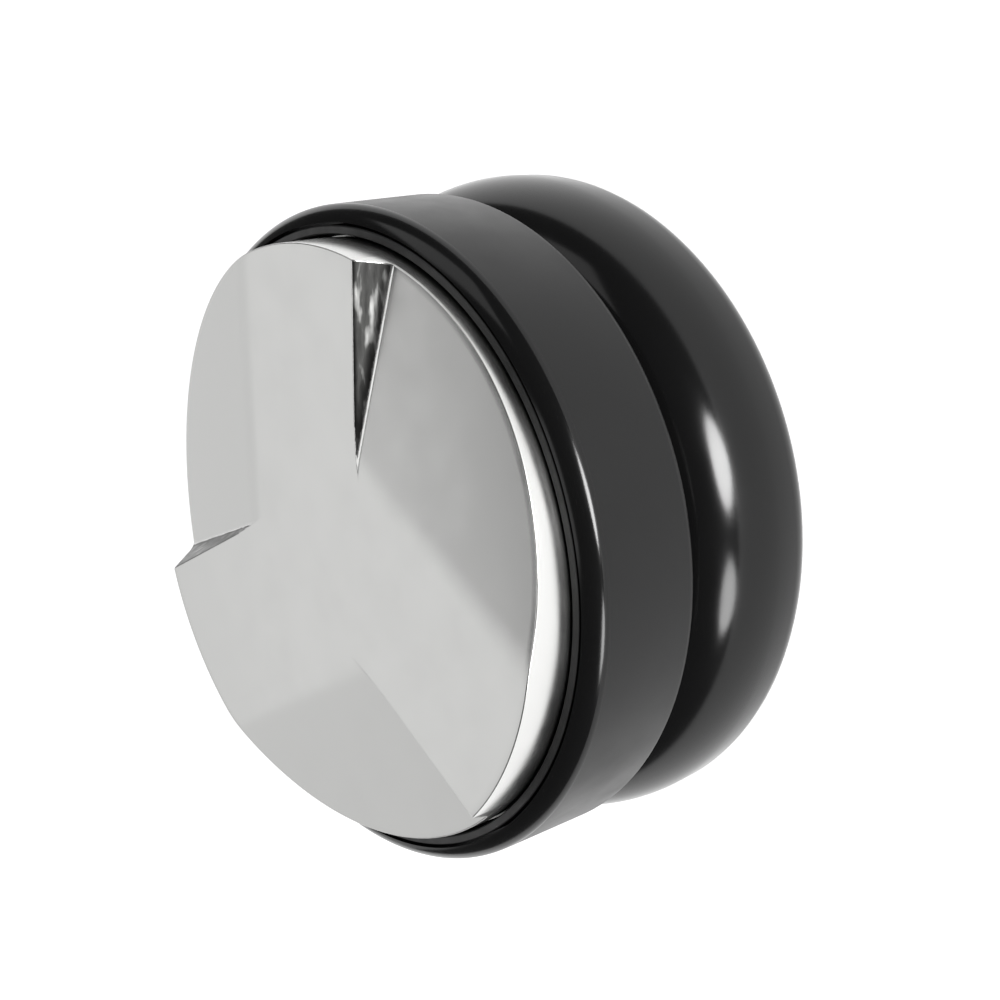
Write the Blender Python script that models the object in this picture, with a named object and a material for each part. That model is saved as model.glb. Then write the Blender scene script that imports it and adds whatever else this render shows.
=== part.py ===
"""Adjustable three-blade coffee distributor for a 58 mm basket.

It stands on the flat top of its grip cap with the blades up, +Z, and its origin is the
centre of that flat top.  From the bottom: a grip cap, a lock washer, a collar with a
guide ring in its mouth, and a blade disc on a threaded stud.  Collar and cap both screw
on the stud: the collar sets how far the blades stand out, and the cap locks it there.
"""
from math import cos, pi, radians, sin, tan

import bmesh
import bpy
from mathutils import Matrix, Vector

MM = 0.001

# Clearances
GAP = 0.3 * MM                    # between pieces that touch or slide on the real object
OVERSHOOT = 1.0 * MM              # how far a cutter runs past the face it cuts

# Blade disc
BASE_RADIUS = 29.0 * MM           # fits a 58 mm basket
DISC_THICKNESS = 7.7 * MM         # underside to the level lands of the blades
BLADE_COUNT = 3
BLADE_DIRECTION = 90.0            # degrees, the first blade
STEP_OFFSET = 5.4 * MM            # from the axis to the line of a blade's step
STEP_SPLAY = 6.1                  # degrees between that line and the blade's direction
BLADE_WALL_LEAN = 31.0            # degrees, how far a step's wall leans back
LAND_EDGE = 10.6 * MM             # from the axis to the line where a blade starts to fall
LAND_SPLAY = 8.0                  # degrees between that line and the blade's direction
BLADE_FALL = 9.6                  # degrees below the level
DISC_CHAMFER = 0.4 * MM

# Skirt O-ring
O_RING_SECTION = 1.2 * MM         # diameter of the cord
O_RING_WALL = 0.8 * MM            # disc left below the O-ring's groove

# Threaded stud
STUD_RADIUS = 12.0 * MM           # over the thread's crests
THREAD_LEAD = 3.0 * MM
THREAD_DEPTH = 1.75 * MM
THREAD_TOOTH = 1.35 * MM          # width of a tooth half way up its flank
THREAD_FLANK = 15.0               # degrees
STUD_FLANGE_RADIUS = 19.0 * MM
STUD_FLANGE_THICKNESS = 2.3 * MM
STUD_RELIEF = 3.0 * MM            # plain neck between the thread and the flange
STUD_CHAMFER = 0.8 * MM

# Collar
COLLAR_WALL = 2.7 * MM
WEB_THICKNESS = 4.5 * MM
COLLAR_TRAVEL = 4.5 * MM
BLADE_PROUD = 4.5 * MM            # lands of the blades above the collar's mouth
SHOULDER_RISE = 1.5 * MM
SHOULDER_BULGE = 0.25 * MM        # how far the shoulder's curve stands off its chord
COLLAR_CHAMFER = 0.4 * MM

# Guide ring in the collar's mouth
GUIDE_WIDTH = 0.8 * MM
GUIDE_HEIGHT = 2.4 * MM

# Threaded bushes in the collar and the cap
BUSH_RADIUS = 15.0 * MM
BUSH_FLANGE_RADIUS = 21.0 * MM
BUSH_FLANGE_THICKNESS = 2.0 * MM

# Grip cap and the lock washer between cap and collar
CAP_RADIUS = 32.9 * MM
CAP_THICKNESS = 14.0 * MM
CAP_FLOOR = 4.4 * MM
CAP_TOP_ROUNDING = 3.5 * MM       # where it stands
CAP_WAIST_ROUNDING = 6.0 * MM     # beside the waist
WASHER_THICKNESS = 1.1 * MM
WASHER_RADIUS = 26.0 * MM

# Countersunk screws: head radius, head height, shank radius, length, circle radius
STUD_SCREW = {"head": 2.75 * MM, "cone": 1.6 * MM, "shank": 1.5 * MM,
              "length": 4.2 * MM, "circle": 15.6 * MM}
BUSH_SCREW = {"head": 2.3 * MM, "cone": 1.35 * MM, "shank": 1.25 * MM,
              "length": 3.4 * MM, "circle": 18.1 * MM}
SCREW_COUNT = 3
HEAD_RIM = 0.25 * MM
SOCKET_DEPTH = 0.9 * MM
SOCKET_RADIUS = 1.15 * MM         # over the corners of the hexagon

# Facets
WIDE_STEPS = 60
RING_STEPS = 48
THREAD_STEPS = 32                 # per turn
SCREW_STEPS = 12
ARC_STEPS = 4
SHARP_ANGLE = 32.0

# Levels, from the floor up
WASHER_BOTTOM = CAP_THICKNESS + GAP
COLLAR_BOTTOM = WASHER_BOTTOM + WASHER_THICKNESS + GAP
WEB_TOP = COLLAR_BOTTOM + WEB_THICKNESS
DISC_BOTTOM = WEB_TOP + COLLAR_TRAVEL + GAP
LAND_LEVEL = DISC_BOTTOM + DISC_THICKNESS
COLLAR_MOUTH = LAND_LEVEL - BLADE_PROUD
SHOULDER_BOTTOM = COLLAR_MOUTH - SHOULDER_RISE
FLANGE_RECESS_TOP = DISC_BOTTOM + STUD_FLANGE_THICKNESS + GAP
BUSH_BOTTOM = CAP_FLOOR + GAP
STUD_BOTTOM = BUSH_BOTTOM
THREAD_TOP = DISC_BOTTOM - STUD_RELIEF

# Radii that follow from the ones above
COLLAR_BORE = BASE_RADIUS + GAP
COLLAR_RADIUS = COLLAR_BORE + COLLAR_WALL
GUIDE_RADIUS = COLLAR_BORE + GUIDE_WIDTH
STUD_ROOT = STUD_RADIUS - THREAD_DEPTH
BUSH_BORE = STUD_ROOT + GAP


def clear_scene():
    for item in list(bpy.data.objects):
        bpy.data.objects.remove(item, do_unlink=True)


def finish(name, colour, roughness, metallic):
    material = bpy.data.materials.new(name)
    material.use_nodes = True
    shader = material.node_tree.nodes["Principled BSDF"]
    shader.inputs["Base Color"].default_value = (*colour, 1.0)
    shader.inputs["Roughness"].default_value = roughness
    shader.inputs["Metallic"].default_value = metallic
    return material


def make_finishes():
    return {
        "steel": finish("polished_steel", (0.62, 0.62, 0.60), 0.22, 1.0),
        "black": finish("black_anodised", (0.02, 0.02, 0.02), 0.32, 0.6),
        "brass": finish("bush_brass", (0.66, 0.50, 0.24), 0.35, 1.0),
        "zinc": finish("screw_zinc", (0.55, 0.56, 0.58), 0.35, 1.0),
        "nylon": finish("washer_nylon", (0.03, 0.03, 0.03), 0.5, 0.0),
        "guide": finish("guide_polymer", (0.07, 0.07, 0.07), 0.4, 0.0),
        "rubber": finish("ring_rubber", (0.015, 0.015, 0.015), 0.6, 0.0),
    }


def place(name, bm, material=None, parent=None):
    """Turn a bmesh into a named object; without a material it is a cutter."""
    bmesh.ops.recalc_face_normals(bm, faces=bm.faces)
    mesh = bpy.data.meshes.new(name)
    bm.to_mesh(mesh)
    bm.free()
    mesh.shade_smooth()
    mesh.set_sharp_from_angle(angle=radians(SHARP_ANGLE))
    item = bpy.data.objects.new(name, mesh)
    bpy.context.scene.collection.objects.link(item)
    if material is None:
        item.hide_render = True
        item.display_type = "WIRE"
    else:
        mesh.materials.append(material)
    item.parent = parent
    return item


def joint_axis(name, parent=None):
    """An empty on the common axis; a body's pieces hang from it."""
    empty = bpy.data.objects.new(name, None)
    bpy.context.scene.collection.objects.link(empty)
    empty.parent = parent
    return empty


def cut(item, cutter):
    modifier = item.modifiers.new(cutter.name, "BOOLEAN")
    modifier.operation = "DIFFERENCE"
    modifier.solver = "EXACT"
    modifier.object = cutter


def join(item, addition):
    modifier = item.modifiers.new(addition.name, "BOOLEAN")
    modifier.operation = "UNION"
    modifier.solver = "EXACT"
    modifier.object = addition


def arc(centre_r, centre_z, radius, start, end, steps=ARC_STEPS):
    """Points (r, z) along an arc, angles in degrees from the outward direction."""
    points = []
    for i in range(steps + 1):
        angle = radians(start + (end - start) * i / steps)
        points.append((centre_r + radius * cos(angle), centre_z + radius * sin(angle)))
    return points


def turned(outline, steps, closed):
    """Turn an outline of (r, z) points about Z; an open one starts and ends on the axis."""
    bm = bmesh.new()
    verts = [bm.verts.new((r, 0.0, z)) for r, z in outline]
    for first, second in zip(verts, verts[1:]):
        bm.edges.new((first, second))
    if closed:
        bm.edges.new((verts[-1], verts[0]))
    bmesh.ops.spin(bm, geom=bm.verts[:] + bm.edges[:], cent=(0, 0, 0), axis=(0, 0, 1),
                   dvec=(0, 0, 0), angle=2 * pi, steps=steps, use_merge=True,
                   use_normal_flip=False, use_duplicate=False)
    bmesh.ops.remove_doubles(bm, verts=bm.verts, dist=0.001 * MM)
    return bm


def thread_ridge(root, crest, extra, bottom, top):
    """A helical ridge from the level bottom to top, its flanks moved out by extra."""
    slope = tan(radians(THREAD_FLANK))
    pitch_radius = STUD_RADIUS - THREAD_DEPTH / 2
    half = THREAD_TOOTH / 2 + extra
    root_half = half + (pitch_radius - root) * slope
    crest_half = half - (crest - pitch_radius) * slope
    first_turn = int(bottom / THREAD_LEAD) + 1
    turns = int((top - first_turn * THREAD_LEAD) / THREAD_LEAD * THREAD_STEPS)
    start = first_turn * THREAD_LEAD
    bm = bmesh.new()
    corners = ((root, -root_half), (crest, -crest_half), (crest, crest_half), (root, root_half))
    face = bm.faces.new([bm.verts.new((r, 0.0, start + z)) for r, z in corners])
    bmesh.ops.spin(bm, geom=[face] + face.edges[:] + face.verts[:], cent=(0, 0, 0),
                   axis=(0, 0, 1), dvec=(0, 0, THREAD_LEAD / THREAD_STEPS),
                   angle=2 * pi * turns / THREAD_STEPS, steps=turns, use_merge=False,
                   use_normal_flip=False, use_duplicate=False)
    return bm


def on_circle(radius, count, phase):
    """Points round a circle, phase in degrees."""
    for i in range(count):
        angle = radians(phase) + 2 * pi * i / count
        yield Vector((radius * cos(angle), radius * sin(angle), 0.0))


def screw_outline(size):
    """Countersunk screw with its head's face at z = 0, from the socket's floor to the tip."""
    return [(0.0, -SOCKET_DEPTH), (SOCKET_RADIUS, -SOCKET_DEPTH), (SOCKET_RADIUS, 0.0),
            (size["head"], 0.0), (size["head"], -HEAD_RIM), (size["shank"], -size["cone"]),
            (size["shank"], -size["length"] + HEAD_RIM),
            (size["shank"] - HEAD_RIM, -size["length"]), (0.0, -size["length"])]


def screw_hole_outline(size):
    """The same screw with its clearance, open past the face."""
    return [(0.0, OVERSHOOT), (size["head"] + GAP, OVERSHOOT), (size["head"] + GAP, -HEAD_RIM),
            (size["shank"] + GAP, -size["cone"]), (size["shank"] + GAP, -size["length"] - GAP),
            (0.0, -size["length"] - GAP)]


def screw_set(name, size, level, pointing_up, phase, material, parent):
    """Three screws, and one cutter with their three holes."""
    turn = Matrix.Identity(4) if pointing_up else Matrix.Rotation(pi, 4, "X")
    holes = bmesh.new()
    for i, spot in enumerate(on_circle(size["circle"], SCREW_COUNT, phase)):
        where = Matrix.Translation(spot + Vector((0, 0, level))) @ turn
        bm = turned(screw_outline(size), SCREW_STEPS, closed=False)
        for v in bm.verts:
            reach = Vector((v.co.x, v.co.y)).length
            at_socket = abs(reach - SOCKET_RADIUS) < 0.01 * MM and v.co.z > -size["cone"]
            if at_socket and round(Vector((v.co.x, v.co.y)).angle_signed((1, 0)) * 6 / pi) % 2:
                v.co.x *= cos(pi / 6)
                v.co.y *= cos(pi / 6)
        bmesh.ops.transform(bm, matrix=where, verts=bm.verts)
        place(f"{name}_{i + 1}", bm, material, parent)
        hole = turned(screw_hole_outline(size), SCREW_STEPS, closed=False)
        bmesh.ops.transform(hole, matrix=where, verts=hole.verts)
        piece = bpy.data.meshes.new("hole")
        hole.to_mesh(piece)
        hole.free()
        holes.from_mesh(piece)
        bpy.data.meshes.remove(piece)
    return place(f"cut_{name}", holes)


def blade_cutter(direction):
    """The pocket that leaves one blade: it lies above the blade's sloping face.

    The face falls away from the level land, from a line beside the axis, and ends at the
    foot of the next blade's step, whose wall leans back.  The pocket is a block trimmed by
    those two planes.
    """
    edge = direction + radians(LAND_SPLAY)
    away = Vector((-sin(edge), cos(edge), 0))
    fall = radians(BLADE_FALL)
    face_up = away * sin(fall) + Vector((0, 0, cos(fall)))

    step = direction + 2 * pi / BLADE_COUNT + radians(STEP_SPLAY)
    low_side = Vector((sin(step), -cos(step), 0))
    lean = radians(BLADE_WALL_LEAN)
    wall_out = low_side * cos(lean) + Vector((0, 0, sin(lean)))

    level = Vector((0, 0, LAND_LEVEL))
    bm = bmesh.new()
    height = BASE_RADIUS
    centre = Matrix.Translation((0, 0, LAND_LEVEL + OVERSHOOT - height / 2))
    bmesh.ops.create_cube(bm, size=1.0,
                          matrix=centre @ Matrix.Diagonal((4 * BASE_RADIUS, 4 * BASE_RADIUS,
                                                           height, 1)))
    for point, normal in ((level + away * LAND_EDGE, face_up),
                          (level + low_side * STEP_OFFSET, wall_out)):
        bmesh.ops.bisect_plane(bm, geom=bm.verts[:] + bm.edges[:] + bm.faces[:], plane_co=point,
                               plane_no=normal, clear_inner=True)
        bmesh.ops.holes_fill(bm, edges=bm.edges)
    return bm


def make_blade_disc(finishes, parent):
    groove_bottom = DISC_BOTTOM + O_RING_WALL
    groove_top = groove_bottom + O_RING_SECTION + 2 * GAP
    groove_radius = BASE_RADIUS - O_RING_SECTION - GAP
    recess = STUD_FLANGE_RADIUS + GAP
    outline = [(0, FLANGE_RECESS_TOP), (recess, FLANGE_RECESS_TOP), (recess, DISC_BOTTOM),
               (BASE_RADIUS - DISC_CHAMFER, DISC_BOTTOM),
               (BASE_RADIUS, DISC_BOTTOM + DISC_CHAMFER), (BASE_RADIUS, groove_bottom),
               (groove_radius, groove_bottom), (groove_radius, groove_top),
               (BASE_RADIUS, groove_top), (BASE_RADIUS, LAND_LEVEL - DISC_CHAMFER),
               (BASE_RADIUS - DISC_CHAMFER, LAND_LEVEL), (0, LAND_LEVEL)]
    disc = place("blade_disc", turned(outline, WIDE_STEPS, closed=False),
                 finishes["steel"], parent)
    for i in range(BLADE_COUNT):
        direction = radians(BLADE_DIRECTION) + 2 * pi * i / BLADE_COUNT
        cut(disc, place(f"cut_blade_{i + 1}", blade_cutter(direction)))

    ring_radius = BASE_RADIUS - O_RING_SECTION / 2
    ring_level = groove_bottom + GAP + O_RING_SECTION / 2
    section = arc(ring_radius, ring_level, O_RING_SECTION / 2, 0, 360, steps=6)[:-1]
    place("skirt_o_ring", turned(section, RING_STEPS, closed=True), finishes["rubber"], parent)
    return disc


def make_stud(finishes, parent):
    thread_end = STUD_ROOT - STUD_CHAMFER
    outline = [(0, STUD_BOTTOM), (thread_end, STUD_BOTTOM),
               (STUD_ROOT, STUD_BOTTOM + STUD_CHAMFER), (STUD_ROOT, DISC_BOTTOM),
               (STUD_FLANGE_RADIUS, DISC_BOTTOM),
               (STUD_FLANGE_RADIUS, DISC_BOTTOM + STUD_FLANGE_THICKNESS),
               (0, DISC_BOTTOM + STUD_FLANGE_THICKNESS)]
    core = turned(outline, THREAD_STEPS, closed=False)
    half_step = Matrix.Rotation(pi / THREAD_STEPS, 4, "Z")
    bmesh.ops.transform(core, matrix=half_step, verts=core.verts)
    stud = place("threaded_stud", core, finishes["steel"], parent)
    ridge = thread_ridge(STUD_ROOT - GAP, STUD_RADIUS, 0.0, STUD_BOTTOM, THREAD_TOP)
    join(stud, place("add_stud_thread", ridge))
    return stud


def make_bush(name, bottom, top, finishes, parent):
    """A flanged threaded bush, its flange's face at the level top."""
    outline = [(BUSH_BORE, bottom), (BUSH_RADIUS, bottom),
               (BUSH_RADIUS, top - BUSH_FLANGE_THICKNESS),
               (BUSH_FLANGE_RADIUS, top - BUSH_FLANGE_THICKNESS),
               (BUSH_FLANGE_RADIUS, top), (BUSH_BORE, top)]
    bush = place(name, turned(outline, THREAD_STEPS, closed=True), finishes["brass"], parent)
    groove = thread_ridge(BUSH_BORE - GAP, STUD_RADIUS + GAP, GAP / cos(radians(THREAD_FLANK)),
                          bottom - 2 * THREAD_LEAD, top + 2 * THREAD_LEAD)
    cut(bush, place(f"cut_{name}_thread", groove))
    return bush


def make_collar(finishes, parent):
    seat = COLLAR_MOUTH - GUIDE_HEIGHT - GAP
    mouth_radius = GUIDE_RADIUS + GAP
    recess = BUSH_FLANGE_RADIUS + GAP
    recess_floor = WEB_TOP - BUSH_FLANGE_THICKNESS - GAP
    run = COLLAR_RADIUS - mouth_radius
    shoulder = []
    for i in range(ARC_STEPS + 1):
        share = i / ARC_STEPS
        bulge = SHOULDER_BULGE * 4 * share * (1 - share)
        chord = (run ** 2 + SHOULDER_RISE ** 2) ** 0.5
        shoulder.append((COLLAR_RADIUS - run * share + bulge * SHOULDER_RISE / chord,
                         SHOULDER_BOTTOM + SHOULDER_RISE * share + bulge * run / chord))
    shoulder[0] = (COLLAR_RADIUS, SHOULDER_BOTTOM)
    outline = [(BUSH_RADIUS + GAP, COLLAR_BOTTOM), (COLLAR_RADIUS - COLLAR_CHAMFER, COLLAR_BOTTOM),
               (COLLAR_RADIUS, COLLAR_BOTTOM + COLLAR_CHAMFER), *shoulder,
               (mouth_radius, seat), (COLLAR_BORE, seat), (COLLAR_BORE, WEB_TOP),
               (recess, WEB_TOP), (recess, recess_floor), (BUSH_RADIUS + GAP, recess_floor)]
    return place("collar_ring", turned(outline, WIDE_STEPS, closed=True),
                 finishes["black"], parent)


def make_guide_ring(finishes, parent):
    bottom = COLLAR_MOUTH - GUIDE_HEIGHT
    outline = [(COLLAR_BORE, bottom), (GUIDE_RADIUS, bottom), (GUIDE_RADIUS, COLLAR_MOUTH),
               (COLLAR_BORE, COLLAR_MOUTH)]
    place("guide_ring", turned(outline, WIDE_STEPS, closed=True), finishes["guide"], parent)


def make_washer(finishes, parent):
    inner = STUD_RADIUS + GAP
    top = WASHER_BOTTOM + WASHER_THICKNESS
    outline = [(inner, WASHER_BOTTOM), (WASHER_RADIUS, WASHER_BOTTOM), (WASHER_RADIUS, top),
               (inner, top)]
    place("lock_washer", turned(outline, RING_STEPS, closed=True), finishes["nylon"], parent)


def make_cap(finishes, parent):
    bore = BUSH_RADIUS + GAP
    recess = BUSH_FLANGE_RADIUS + GAP
    recess_floor = CAP_THICKNESS - BUSH_FLANGE_THICKNESS - GAP
    low = CAP_TOP_ROUNDING
    high = CAP_WAIST_ROUNDING
    outline = [(0, 0), *arc(CAP_RADIUS - low, low, low, -90, 0),
               *arc(CAP_RADIUS - high, CAP_THICKNESS - high, high, 0, 90),
               (recess, CAP_THICKNESS), (recess, recess_floor), (bore, recess_floor),
               (bore, CAP_FLOOR), (0, CAP_FLOOR)]
    return place("grip_cap", turned(outline, WIDE_STEPS, closed=False),
                 finishes["black"], parent)


def build():
    clear_scene()
    finishes = make_finishes()
    cap_axis = joint_axis("cap_axis")
    washer_axis = joint_axis("lock_washer_axis", cap_axis)
    base_axis = joint_axis("base_axis", washer_axis)
    guide_axis = joint_axis("guide_ring_axis", base_axis)
    collar_axis = joint_axis("collar_axis", guide_axis)

    between_steps = BLADE_DIRECTION + 180 / BLADE_COUNT

    cap = make_cap(finishes, cap_axis)
    cap_bush = make_bush("cap_bush", BUSH_BOTTOM, CAP_THICKNESS, finishes, cap_axis)
    holes = screw_set("cap_bush_screw", BUSH_SCREW, CAP_THICKNESS, True, between_steps,
                      finishes["zinc"], cap_axis)
    cut(cap, holes)
    cut(cap_bush, holes)

    make_washer(finishes, washer_axis)

    disc = make_blade_disc(finishes, base_axis)
    stud = make_stud(finishes, base_axis)
    holes = screw_set("stud_screw", STUD_SCREW, DISC_BOTTOM, False, between_steps,
                      finishes["zinc"], base_axis)
    cut(disc, holes)
    cut(stud, holes)

    make_guide_ring(finishes, guide_axis)

    collar = make_collar(finishes, collar_axis)
    collar_bush = make_bush("collar_bush", COLLAR_BOTTOM, WEB_TOP, finishes, collar_axis)
    holes = screw_set("collar_bush_screw", BUSH_SCREW, WEB_TOP, True, between_steps,
                      finishes["zinc"], collar_axis)
    cut(collar, holes)
    cut(collar_bush, holes)


build()
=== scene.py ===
# %% [markdown]
# # An adjustable coffee distributor
#
# This tool levels ground coffee in a 58 mm basket. It is three turned pieces on one thread: a
# polished steel disc with three stepped blades, a black collar that sets how far the blades
# stand out, and a black grip cap that locks the collar. It stands on the cap here, blades up.
#
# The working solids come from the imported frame, already in place. The cells below put finer
# surfaces over them and give every piece its finish.

# %% Load the frame
from math import cos, pi, radians, sin, tan

import bmesh
import bpy
from mathutils import Matrix, Vector


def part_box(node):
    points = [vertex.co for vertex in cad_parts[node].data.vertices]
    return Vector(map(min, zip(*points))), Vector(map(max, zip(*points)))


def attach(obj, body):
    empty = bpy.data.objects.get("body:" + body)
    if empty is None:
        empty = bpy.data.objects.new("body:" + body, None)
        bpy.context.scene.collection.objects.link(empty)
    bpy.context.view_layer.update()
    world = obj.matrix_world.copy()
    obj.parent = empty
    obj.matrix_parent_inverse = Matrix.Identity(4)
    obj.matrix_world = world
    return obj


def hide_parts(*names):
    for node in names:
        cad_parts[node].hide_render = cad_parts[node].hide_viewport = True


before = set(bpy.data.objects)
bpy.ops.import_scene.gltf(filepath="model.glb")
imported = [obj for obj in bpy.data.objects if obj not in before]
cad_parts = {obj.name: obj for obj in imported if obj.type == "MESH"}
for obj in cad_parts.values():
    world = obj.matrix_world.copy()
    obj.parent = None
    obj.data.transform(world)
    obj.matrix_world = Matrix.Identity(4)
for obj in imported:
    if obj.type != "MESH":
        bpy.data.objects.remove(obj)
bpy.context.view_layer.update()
MM = 0.001

# %% [markdown]
# ## Sizes
#
# Every level and radius is read from the frame's own pieces, so a finer piece always fits the
# solid that it stands for. Turned pieces need only two facts from each box: how wide it is and
# where it starts and ends along the axis.

# %% Read radii and levels from the frame
def radius_of(node):
    low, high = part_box(node)
    return (high[0] - low[0]) / 2


def levels_of(node):
    low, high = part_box(node)
    return low[2], high[2]


BASE_R = radius_of("blade_disc")
COLLAR_R = radius_of("collar_ring")
CAP_R = radius_of("grip_cap")
GUIDE_R = radius_of("guide_ring")
WASHER_R = radius_of("lock_washer")
BUSH_FLANGE_R = radius_of("cap_bush")
STUD_FLANGE_R = radius_of("threaded_stud")
CAP_LOW, CAP_HIGH = levels_of("grip_cap")
COLLAR_LOW, MOUTH = levels_of("collar_ring")
DISC_LOW, LAND = levels_of("blade_disc")
WASHER_LOW, WASHER_HIGH = levels_of("lock_washer")
GUIDE_LOW, GUIDE_HIGH = levels_of("guide_ring")
STUD_LOW, STUD_HIGH = levels_of("threaded_stud")
CAP_BUSH_LOW = levels_of("cap_bush")[0]
WEB_TOP = levels_of("collar_bush")[1]
O_RING_LOW, O_RING_HIGH = levels_of("skirt_o_ring")
FIT = WASHER_LOW - CAP_HIGH
print(f"base {BASE_R / MM:.1f}, collar {COLLAR_R / MM:.1f}, cap {CAP_R / MM:.1f} mm in radius")
print(f"mouth at {MOUTH / MM:.2f}, lands at {LAND / MM:.2f} mm, fit {FIT / MM:.2f} mm")

# %% [markdown]
# ## Camera and light
#
# The camera looks down on the blades at about 39 degrees and is rolled on its side, so the
# turning axis runs across the picture and the blades face left. A rolled camera is simply a
# look-at rotation followed by a turn about the camera's own viewing axis.

# %% Camera
VIEW_ELEVATION = radians(39.23)
VIEW_ROLL = radians(-104.9)
VIEW_DISTANCE = 164.03 * MM
VIEW_AIM = Vector((0.42, -8.11, 16.76)) * MM
LENS = 61.2

camera_data = bpy.data.cameras.new("camera")
camera_data.lens = LENS
camera_data.sensor_width = 36.0
camera_data.clip_start = 5 * MM
camera = bpy.data.objects.new("camera", camera_data)
bpy.context.scene.collection.objects.link(camera)
toward = Vector((0, cos(VIEW_ELEVATION), -sin(VIEW_ELEVATION)))
camera.matrix_world = (Matrix.Translation(VIEW_AIM - toward * VIEW_DISTANCE)
                       @ toward.to_track_quat("-Z", "Y").to_matrix().to_4x4()
                       @ Matrix.Rotation(VIEW_ROLL, 4, "Z"))
bpy.context.scene.camera = camera
bpy.context.scene.view_settings.view_transform = "Standard"
print("camera at", [round(v / MM, 1) for v in camera.matrix_world.translation], "mm")

# %% [markdown]
# Polished metal shows its surroundings more than its own colour, so the light is laid out by
# what each surface mirrors. The bladed face mirrors a broad panel behind the tool. A smaller
# core over it brightens only the level lands, and the panel's upper edge falls away over one
# pocket, so the three blades differ. A panel overhead lights the fillets at the steps' feet.
# The satin bands mirror the pale floor, and two low panels in front, with a dark gap between
# them, give the short bright marks on the rounded black edges. The rest of the room stays dim.

# %% Soft panels
def soft_panel(name, azimuth, elevation, distance, width, height, brightness,
               shape="RECTANGLE"):
    """A panel facing the tool; azimuth counts from +X towards +Y, both angles in degrees.

    Distance and size are in metres; brightness is about what a mirror would show of it.
    """
    light = bpy.data.lights.new(name, "AREA")
    light.shape = shape
    light.size = width
    light.size_y = height
    light.energy = brightness * pi * width * height
    lamp = bpy.data.objects.new(name, light)
    bpy.context.scene.collection.objects.link(lamp)
    around, up = radians(azimuth), radians(elevation)
    away = Vector((cos(around) * cos(up), sin(around) * cos(up), sin(up)))
    middle = Vector((0, 0, LAND / 2))
    lamp.matrix_world = (Matrix.Translation(middle + away * distance)
                         @ (-away).to_track_quat("-Z", "Y").to_matrix().to_4x4())
    return lamp


soft_panel("back_panel", 93, 28.5, 0.9, 1.05, 1.0, 0.69)
soft_panel("back_panel_core", 87, 38, 0.9, 0.50, 0.30, 0.15)
soft_panel("overhead_panel", 90, 80, 0.9, 0.35, 0.35, 1.5)
soft_panel("side_panel", 5, 40, 0.8, 0.6, 0.4, 1.1)
soft_panel("front_panel_right", 265, 9, 0.6, 0.30, 0.20, 26.0, "ELLIPSE")
soft_panel("front_panel_left", 224, 9, 0.6, 0.24, 0.17, 13.0, "ELLIPSE")

# %% Dim surroundings
WORLD_BRIGHTNESS = 0.10
world = bpy.data.worlds.new("studio")
bpy.context.scene.world = world
world.use_nodes = True
background = world.node_tree.nodes["Background"]
background.inputs["Color"].default_value = (1.0, 1.0, 1.0, 1)
background.inputs["Strength"].default_value = WORLD_BRIGHTNESS

# %% [markdown]
# The floor is a light table: an opal sheet lit from below, which is how small tools are shown
# on white without a heavy shadow. It is a plain diffuse sheet with a little light of its own.

# %% Floor
FLOOR_SIZE = 6.0
FLOOR_GLOW = 0.78
FLOOR_COLOUR = (0.85, 0.85, 0.85, 1)
bm = bmesh.new()
bmesh.ops.create_grid(bm, x_segments=1, y_segments=1, size=FLOOR_SIZE / 2)
floor_mesh = bpy.data.meshes.new("floor")
bm.to_mesh(floor_mesh)
bm.free()
floor = bpy.data.objects.new("floor", floor_mesh)
bpy.context.scene.collection.objects.link(floor)
opal = bpy.data.materials.new("opal_floor")
opal.use_nodes = True
opal_shader = opal.node_tree.nodes["Principled BSDF"]
opal_shader.inputs["Base Color"].default_value = FLOOR_COLOUR
opal_shader.inputs["Roughness"].default_value = 1.0
opal_shader.inputs["Specular IOR Level"].default_value = 0.0
opal_shader.inputs["Emission Color"].default_value = (1, 1, 1, 1)
opal_shader.inputs["Emission Strength"].default_value = FLOOR_GLOW
floor_mesh.materials.append(opal)

# %% [markdown]
# ## Finishes
#
# A finish is a small node tree: a Principled shader, fine noise for bump and for uneven
# roughness, and where the real surface has them, tool marks. Patterns read Object coordinates
# in metres, so a grain of 0.1 mm needs a noise scale of about ten thousand.

# %% Node helpers
def start_finish(name, colour, metallic, roughness):
    """A material with its node tree, its shader and an Object coordinate output."""
    material = bpy.data.materials.new(name)
    material.use_nodes = True
    tree = material.node_tree
    shader = tree.nodes["Principled BSDF"]
    shader.inputs["Base Color"].default_value = (*colour, 1.0)
    shader.inputs["Metallic"].default_value = metallic
    shader.inputs["Roughness"].default_value = roughness
    place = tree.nodes.new("ShaderNodeTexCoord").outputs["Object"]
    return material, tree, shader, place


def noise(tree, place, scale, detail=3.0, stretch=None):
    """Noise at a scale per metre; stretch scales the axes to draw it out into streaks."""
    if stretch:
        mapping = tree.nodes.new("ShaderNodeMapping")
        mapping.inputs["Scale"].default_value = stretch
        tree.links.new(place, mapping.inputs["Vector"])
        place = mapping.outputs["Vector"]
    texture = tree.nodes.new("ShaderNodeTexNoise")
    texture.inputs["Scale"].default_value = scale
    texture.inputs["Detail"].default_value = detail
    tree.links.new(place, texture.inputs["Vector"])
    return texture.outputs["Fac"]


def spread(tree, value, low, high, start=0.3, end=0.7):
    """Map the middle of a 0 to 1 value onto the range low to high."""
    node = tree.nodes.new("ShaderNodeMapRange")
    node.inputs["From Min"].default_value = start
    node.inputs["From Max"].default_value = end
    node.inputs["To Min"].default_value = low
    node.inputs["To Max"].default_value = high
    tree.links.new(value, node.inputs["Value"])
    return node.outputs["Result"]


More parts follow.
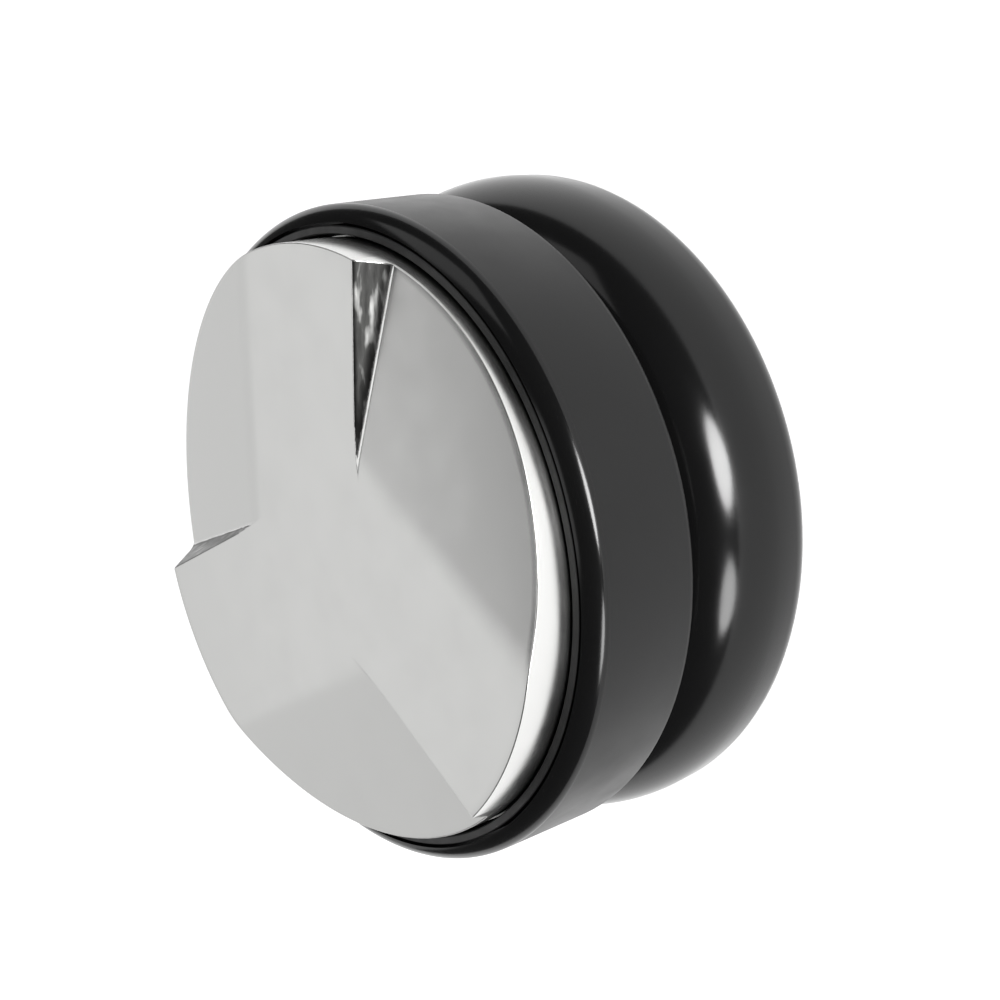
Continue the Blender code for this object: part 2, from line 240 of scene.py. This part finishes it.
def bump(tree, shader, height, depth, after=None):
    """A bump of the given depth in metres, on top of an earlier one."""
    node = tree.nodes.new("ShaderNodeBump")
    node.inputs["Strength"].default_value = 1.0
    node.inputs["Distance"].default_value = depth
    tree.links.new(height, node.inputs["Height"])
    if after:
        tree.links.new(after, node.inputs["Normal"])
    tree.links.new(node.outputs["Normal"], shader.inputs["Normal"])
    return node.outputs["Normal"]


# %% Steel
def polished_steel():
    material, tree, shader, place = start_finish("polished_steel", (0.66, 0.66, 0.65), 1.0, 0.22)
    haze = noise(tree, place, 220.0, 4.0)
    tree.links.new(spread(tree, haze, 0.19, 0.26), shader.inputs["Roughness"])
    grain = bump(tree, shader, noise(tree, place, 9000.0, 2.0), 0.0000006)
    bump(tree, shader, noise(tree, place, 70.0, 1.0), 0.000006, after=grain)
    return material


def milled_steel():
    material, tree, shader, place = start_finish("milled_steel", (0.30, 0.30, 0.29), 1.0, 0.3)
    marks = noise(tree, place, 260.0, 3.0, stretch=(1.0, 1.0, 5.0))
    tree.links.new(spread(tree, marks, 0.25, 0.45), shader.inputs["Roughness"])
    tones = tree.nodes.new("ShaderNodeValToRGB")
    tones.color_ramp.elements[0].position = 0.52
    tones.color_ramp.elements[0].color = (0.07, 0.07, 0.068, 1)
    tones.color_ramp.elements[1].position = 0.74
    tones.color_ramp.elements[1].color = (0.5, 0.5, 0.49, 1)
    tree.links.new(marks, tones.inputs["Fac"])
    tree.links.new(tones.outputs["Color"], shader.inputs["Base Color"])
    bump(tree, shader, marks, 0.000015)
    return material


# %% Black anodised aluminium
def black_anodised(name, roughness, grain_depth, specular):
    material, tree, shader, place = start_finish(name, (0.0035, 0.0035, 0.0036), 0.0, roughness)
    shader.inputs["IOR"].default_value = 1.5
    shader.inputs["Specular IOR Level"].default_value = specular
    patches = noise(tree, place, 160.0, 3.0)
    tree.links.new(spread(tree, patches, roughness * 0.85, roughness * 1.15),
                   shader.inputs["Roughness"])
    bump(tree, shader, noise(tree, place, 12000.0, 2.0), grain_depth)
    return material


# %% Small parts
def plain_finish(name, colour, metallic, low, high, scale, depth):
    material, tree, shader, place = start_finish(name, colour, metallic, (low + high) / 2)
    cloud = noise(tree, place, scale, 4.0)
    tree.links.new(spread(tree, cloud, low, high), shader.inputs["Roughness"])
    bump(tree, shader, noise(tree, place, scale * 8, 3.0), depth)
    return material


steel = polished_steel()
milled = milled_steel()
satin_black = black_anodised("satin_black", 0.34, 0.000003, 0.25)
gloss_black = black_anodised("gloss_black", 0.16, 0.0000008, 0.29)
brass = plain_finish("bush_brass", (0.62, 0.45, 0.20), 1.0, 0.26, 0.34, 500.0, 0.0000015)
zinc = plain_finish("screw_zinc", (0.55, 0.56, 0.58), 1.0, 0.25, 0.4, 700.0, 0.000004)
nylon = plain_finish("washer_nylon", (0.02, 0.02, 0.02), 0.0, 0.4, 0.5, 600.0, 0.000003)
acetal = plain_finish("guide_acetal", (0.012, 0.012, 0.012), 0.0, 0.35, 0.5, 600.0, 0.000004)
rubber = plain_finish("ring_rubber", (0.015, 0.015, 0.015), 0.0, 0.5, 0.7, 900.0, 0.00001)
print("finishes:", len(bpy.data.materials))

# %% [markdown]
# ## Turned pieces
#
# Most of this tool is made on a lathe, so one helper makes most of it here: an outline of
# radius and height, spun about the axis with the spin operator. Round corners are arcs in the
# outline. After a full spin the seam's doubles are merged, then the normals are recalculated.

# %% Turning helpers
FINE_STEPS = 192


def arc(centre_r, centre_z, radius, start, end, steps=8):
    """Outline points along an arc, in degrees from the outward direction."""
    return [(centre_r + radius * cos(radians(start + (end - start) * i / steps)),
             centre_z + radius * sin(radians(start + (end - start) * i / steps)))
            for i in range(steps + 1)]


def turn(outline, steps=FINE_STEPS, ring=True):
    """Spin an outline of (radius, height) points; ring joins its last point to its first."""
    bm = bmesh.new()
    verts = [bm.verts.new((r, 0, z)) for r, z in outline]
    for a, b in zip(verts, verts[1:] + verts[:1] if ring else verts[1:]):
        bm.edges.new((a, b))
    bmesh.ops.spin(bm, geom=bm.verts[:] + bm.edges[:], cent=(0, 0, 0), axis=(0, 0, 1),
                   dvec=(0, 0, 0), angle=2 * pi, steps=steps, use_merge=True,
                   use_normal_flip=False, use_duplicate=False)
    bmesh.ops.remove_doubles(bm, verts=bm.verts, dist=0.0005 * MM)
    bmesh.ops.recalc_face_normals(bm, faces=bm.faces)
    return bm


def finish_piece(name, bm, body, node, slot, *materials, sharp=32.0):
    """Make the object, ride it on its body and hide the CAD node that it replaces."""
    mesh = bpy.data.meshes.new(name)
    bm.to_mesh(mesh)
    bm.free()
    mesh.shade_smooth()
    mesh.set_sharp_from_angle(angle=radians(sharp))
    for material in materials:
        mesh.materials.append(material)
    piece = bpy.data.objects.new(name, mesh)
    bpy.context.scene.collection.objects.link(piece)
    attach(piece, body)
    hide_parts(node)
    print(f"{name}: {len(mesh.polygons)} faces")
    return piece


# %% [markdown]
# ## Grip cap
#
# The cap is a solid puck with a soft edge where it stands and a fuller one beside the waist,
# where the fingers turn it. The fuller one is a quarter of an ellipse, longer than it is deep.
# Its blind bore holds a brass bush. The side leans in very slightly towards the foot, because
# a dead flat turned band between two roundings looks dented when polished.

# %% Grip cap
STAND_ROUND = 3.5 * MM
WAIST_ROUND = 6.0 * MM
WAIST_LENGTH = 8.6 * MM
SIDE_LEAN = 0.1 * MM
STAND_END = -6                    # degrees, where the foot's rounding meets the side
BUSH_R = 15.0 * MM
BUSH_FLANGE = 2.0 * MM
LIP = 0.2 * MM


def waist_curve(steps=20):
    """A quarter of an ellipse from the side to the waist, longer than it is deep."""
    points = []
    for i in range(1, steps + 1):
        angle = pi / 2 * i / steps
        points.append((CAP_R - WAIST_ROUND + WAIST_ROUND * cos(angle),
                       CAP_HIGH - WAIST_LENGTH + WAIST_LENGTH * sin(angle)))
    return points


def cap_outline():
    bore = BUSH_R + FIT
    recess = BUSH_FLANGE_R + FIT
    recess_floor = CAP_HIGH - BUSH_FLANGE - FIT
    foot = CAP_R - SIDE_LEAN - STAND_ROUND
    return [(0, CAP_LOW), *arc(foot, CAP_LOW + STAND_ROUND, STAND_ROUND, -90, STAND_END),
            (CAP_R, CAP_HIGH - WAIST_LENGTH), *waist_curve(),
            (recess + LIP, CAP_HIGH), (recess, CAP_HIGH - LIP), (recess, recess_floor),
            (bore, recess_floor), (bore, CAP_BUSH_LOW - FIT), (0, CAP_BUSH_LOW - FIT)]


finish_piece("cap_shell", turn(cap_outline(), ring=False), "cap", "grip_cap",
             "black_anodised", gloss_black)

# %% [markdown]
# ## Collar
#
# The collar is a thin cup. Its outside is one straight satin band, and its shoulder runs over
# to the mouth in a shallow glossy curve. The edge between them is rolled just enough to catch a
# thin line of light, and the band's rear edge is rounded.

# %% Collar
SHOULDER_DROP = 1.5 * MM
SHOULDER_BULGE = 0.25 * MM
EDGE_ROLL = 0.28 * MM
REAR_ROUND = 0.9 * MM
BAND_TOP = MOUTH - SHOULDER_DROP


def shoulder_points(outer, inner, low, high, bulge, steps=14):
    """A shallow convex curve from the band's edge to the mouth."""
    chord = Vector((inner - outer, high - low))
    proud = Vector((high - low, outer - inner)).normalized()
    points = []
    for i in range(steps + 1):
        share = i / steps
        swell = 4 * share * (1 - share)
        spot = Vector((outer, low)) + chord * share + proud * bulge * swell
        points.append(tuple(spot))
    return points


def rolled_edge(before, corner, after, steps=6):
    """The corner of an outline rounded off between the points before and after it."""
    points = []
    for i in range(steps + 1):
        t = i / steps
        points.append(tuple((1 - t) ** 2 * Vector(before) + 2 * t * (1 - t) * Vector(corner)
                            + t ** 2 * Vector(after)))
    return points


def collar_outline():
    bore = BASE_R + FIT
    mouth_r = GUIDE_R + FIT
    seat = GUIDE_LOW - FIT
    recess = BUSH_FLANGE_R + FIT
    hole = BUSH_R + FIT
    recess_floor = WEB_TOP - BUSH_FLANGE - FIT
    shoulder = shoulder_points(COLLAR_R, mouth_r, BAND_TOP, MOUTH, SHOULDER_BULGE)
    return [(hole, COLLAR_LOW),
            *arc(COLLAR_R - REAR_ROUND, COLLAR_LOW + REAR_ROUND, REAR_ROUND, -90, 0),
            *rolled_edge((COLLAR_R, BAND_TOP - EDGE_ROLL), shoulder[0], shoulder[2]),
            *shoulder[3:],
            (mouth_r, seat), (bore, seat), (bore, WEB_TOP), (recess, WEB_TOP),
            (recess, recess_floor), (hole, recess_floor)]


bm = turn(collar_outline())
for face in bm.faces:
    middle = face.calc_center_median()
    on_band = middle.xy.length > COLLAR_R - REAR_ROUND and middle.z < BAND_TOP - EDGE_ROLL
    face.material_index = 1 if on_band else 0
finish_piece("collar_shell", bm, "collar", "collar_ring", "black_anodised",
             gloss_black, satin_black)

# %% Guide ring and lock washer
def plain_ring(inner, outer, low, high, ease):
    """A flat ring with eased corners."""
    return [(inner + ease, low), (outer - ease, low), (outer, low + ease), (outer, high - ease),
            (outer - ease, high), (inner + ease, high), (inner, high - ease), (inner, low + ease)]


STUD_R = 12.0 * MM
GUIDE_EASE = 0.1 * MM
WASHER_EASE = 0.15 * MM
finish_piece("mouth_guide",
             turn(plain_ring(BASE_R + FIT, GUIDE_R, GUIDE_LOW, GUIDE_HIGH, GUIDE_EASE)),
             "guide_ring", "guide_ring", "guide_polymer", acetal)
finish_piece("waist_washer",
             turn(plain_ring(STUD_R + FIT, WASHER_R, WASHER_LOW, WASHER_HIGH, WASHER_EASE)),
             "lock_washer", "lock_washer", "washer_nylon", nylon)

# %% [markdown]
# ## Bladed disc
#
# Three pockets are milled into a flat face. Each leaves a blade that is level beside its step
# and then falls away to the foot of the next step, whose wall leans back. From above, every
# point of that face has just one height, so the disc is turned with a flat top, the top gets
# extra edges along the walls with bisect_plane, and each point is then let down by the depth
# of the pocket there. Blending that depth over a short distance rounds the crest, and a wider
# one gives the foot the fillet that a ball-nosed cutter leaves.

# %% Depth of the pockets
BLADES = 3
FIRST_BLADE = 90                  # degrees round from +X
STEP_OFFSET = 5.4 * MM            # from the axis to the line of a step
STEP_SPLAY = 6.1                  # degrees between that line and its blade's direction
WALL_LEAN = 31.0                  # degrees, how far a wall leans back
LAND_EDGE = 11.2 * MM             # from the axis to the line where a blade starts to fall
LAND_SPLAY = 8.0                  # degrees between that line and its blade's direction
FALL = 0.175                      # how far it falls per unit of length
EDGE_BLEND = 1.5 * MM
CREST_BLEND = 0.15 * MM
FOOT_BLEND = 0.8 * MM


def blade_angle(blade, splay):
    return radians(FIRST_BLADE + 360 / BLADES * blade + splay)


def soft_positive(value, blend):
    """The value where it is positive and 0 elsewhere, rounded over the blend's width."""
    if value <= -blend:
        return 0.0
    if value >= blend:
        return value
    return (value + blend) ** 2 / (4 * blend)


def step_line(blade):
    """The line of a blade's step: the direction towards its low side, and its outward run."""
    angle = blade_angle(blade, STEP_SPLAY)
    return Vector((sin(angle), -cos(angle))), Vector((cos(angle), sin(angle)))


def pocket_depth(spot, blade):
    """How far the pocket between this blade's land and the next step lies below the land."""
    edge = blade_angle(blade, LAND_SPLAY)
    away = soft_positive(spot.x * -sin(edge) + spot.y * cos(edge) - LAND_EDGE, EDGE_BLEND)
    fall = away * FALL
    low_side, _ = step_line(blade + 1)
    inside = soft_positive(low_side.dot(spot) - STEP_OFFSET, CREST_BLEND)
    wall = inside / tan(radians(WALL_LEAN))
    return max(0.0, fall - soft_positive(fall - wall, FOOT_BLEND))


def face_depth(spot):
    return max(pocket_depth(spot, blade) for blade in range(BLADES))


rim_spots = [Vector((cos(radians(a)), sin(radians(a)))) * BASE_R for a in range(360)]
DEEPEST = max(face_depth(spot) for spot in rim_spots)
print(f"deepest pocket at the rim: {DEEPEST / MM:.2f} mm")

# %% Turned blank with rings of vertices on its face
RIM_ROUND = 0.12 * MM
BACK_BREAK = 0.4 * MM
FACE_RINGS = 48
DISC_STEPS = 240
O_RING_WALL = 0.8 * MM
O_RING_R = (O_RING_HIGH - O_RING_LOW) / 2
O_RING_MIDDLE = (O_RING_LOW + O_RING_HIGH) / 2
CORD = 0.6 * MM
GROOVE_LOW = DISC_LOW + O_RING_WALL
GROOVE_HIGH = GROOVE_LOW + 2 * CORD + 2 * FIT
GROOVE_R = BASE_R - 2 * CORD - FIT


def disc_outline():
    recess = STUD_FLANGE_R + FIT
    recess_top = STUD_HIGH + FIT
    flat = BASE_R - RIM_ROUND
    rings = [(flat * i / FACE_RINGS, LAND) for i in range(FACE_RINGS)]
    return [(0, recess_top), (recess, recess_top), (recess, DISC_LOW),
            (BASE_R - BACK_BREAK, DISC_LOW), (BASE_R, DISC_LOW + BACK_BREAK),
            (BASE_R, GROOVE_LOW), (GROOVE_R, GROOVE_LOW), (GROOVE_R, GROOVE_HIGH),
            (BASE_R, GROOVE_HIGH), *arc(flat, LAND - RIM_ROUND, RIM_ROUND, 0, 90, 6),
            *reversed(rings)]


disc = turn(disc_outline(), DISC_STEPS, ring=False)
print("blank:", len(disc.faces), "faces")

# %% Extra edges along each wall, then the pockets
CREST_LINES = [x * MM for x in (-0.3, -0.2, -0.12, -0.04, 0.04, 0.12, 0.2, 0.3)]
WALL_LINES = [(0.37 + 0.07 * i) * MM for i in range(30)]
REACH = 1.6 * MM                  # half the width of the strip of faces that a line may cut

for blade in range(BLADES):
    low_side, outward = step_line(blade)
    for line in CREST_LINES + WALL_LINES:
        close = []
        for face in disc.faces:
            middle = face.calc_center_median()
            beside = abs(low_side.dot(middle.xy) - STEP_OFFSET - line) < REACH
            if beside and outward.dot(middle.xy) > 0 and middle.z > GROOVE_HIGH:
                close.append(face)
        edges = {edge for face in close for edge in face.edges}
        verts = {vert for face in close for vert in face.verts}
        spot = low_side * (STEP_OFFSET + line)
        bmesh.ops.bisect_plane(disc, geom=[*verts, *edges, *close], dist=0.001 * MM,
                               plane_co=(*spot, 0), plane_no=(*low_side, 0))

for vert in disc.verts:
    if vert.co.z > GROOVE_HIGH + 0.01 * MM:
        vert.co.z -= face_depth(vert.co.xy)
bmesh.ops.recalc_face_normals(disc, faces=disc.faces)
print("milled disc:", len(disc.faces), "faces")

# %% Walls keep the cutter's marks, the rest is polished
WALL_STEEPNESS = 35
STEEP = cos(radians(WALL_STEEPNESS))
for face in disc.faces:
    middle = face.calc_center_median()
    on_wall = middle.z > GROOVE_HIGH and face.normal.z < STEEP
    face.material_index = 1 if on_wall and middle.xy.length < BASE_R - RIM_ROUND else 0
finish_piece("bladed_disc", disc, "base", "blade_disc", "polished_steel", steel, milled)

# %% Skirt O-ring
CORD_SIDES = 16
last_side = 360 - 360 / CORD_SIDES
ring = turn(arc(BASE_R - CORD, O_RING_MIDDLE, O_RING_R, 0, last_side, CORD_SIDES - 1))
finish_piece("skirt_cord", ring, "base", "skirt_o_ring", "ring_rubber", rubber)

# %% [markdown]
# ## Threaded stud
#
# The stud shows in the waist as soon as the cap is backed off, so it gets a finer thread than
# its solid: a turned core with one helical ridge, both fine enough for a smooth highlight. The
# ridge starts at the same angle and level as the solid's, so the bushes still follow it.

# %% Stud with a fine thread
LEAD = 3.0 * MM
THREAD_DEPTH = 1.75 * MM
TOOTH_HALF = 0.675 * MM
THREAD_FLANK = 15
FLANK_SLOPE = tan(radians(THREAD_FLANK))
CREST_EASE = 0.15 * MM
THREAD_START = 2 * LEAD
THREAD_TURNS = 5.3125             # as many as on the solid
TURN_STEPS = 96
STUD_CHAMFER = 0.8 * MM


def thread_profile():
    """The ridge's cross-section, its crest's corners broken."""
    middle = STUD_R - THREAD_DEPTH / 2
    foot = STUD_R - THREAD_DEPTH - FIT
    foot_half = TOOTH_HALF + (middle - foot) * FLANK_SLOPE
    crest_half = TOOTH_HALF - (STUD_R - middle) * FLANK_SLOPE
    upper = [(STUD_R, crest_half - CREST_EASE), (STUD_R - CREST_EASE, crest_half),
             (foot, foot_half)]
    return [(r, -z) for r, z in reversed(upper)] + upper


core_r = STUD_R - THREAD_DEPTH
stud = turn([(0, STUD_LOW), (core_r - STUD_CHAMFER, STUD_LOW), (core_r, STUD_LOW + STUD_CHAMFER),
             (core_r, DISC_LOW), (STUD_FLANGE_R, DISC_LOW), (STUD_FLANGE_R, STUD_HIGH),
             (0, STUD_HIGH)], ring=False)
section = stud.faces.new([stud.verts.new((r, 0, THREAD_START + z)) for r, z in thread_profile()])
bmesh.ops.spin(stud, geom=[section, *section.edges, *section.verts], cent=(0, 0, 0),
               axis=(0, 0, 1), dvec=(0, 0, LEAD / TURN_STEPS), angle=2 * pi * THREAD_TURNS,
               steps=round(THREAD_TURNS * TURN_STEPS), use_merge=False,
               use_normal_flip=False, use_duplicate=False)
bmesh.ops.recalc_face_normals(stud, faces=stud.faces)
finish_piece("fine_stud", stud, "base", "threaded_stud", "polished_steel", steel)

# %% Finishes for the screws and bushes
for name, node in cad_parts.items():
    if "_screw_" in name:
        node.material_slots[0].material = zinc
    if name.endswith("_bush"):
        node.material_slots[0].material = brass
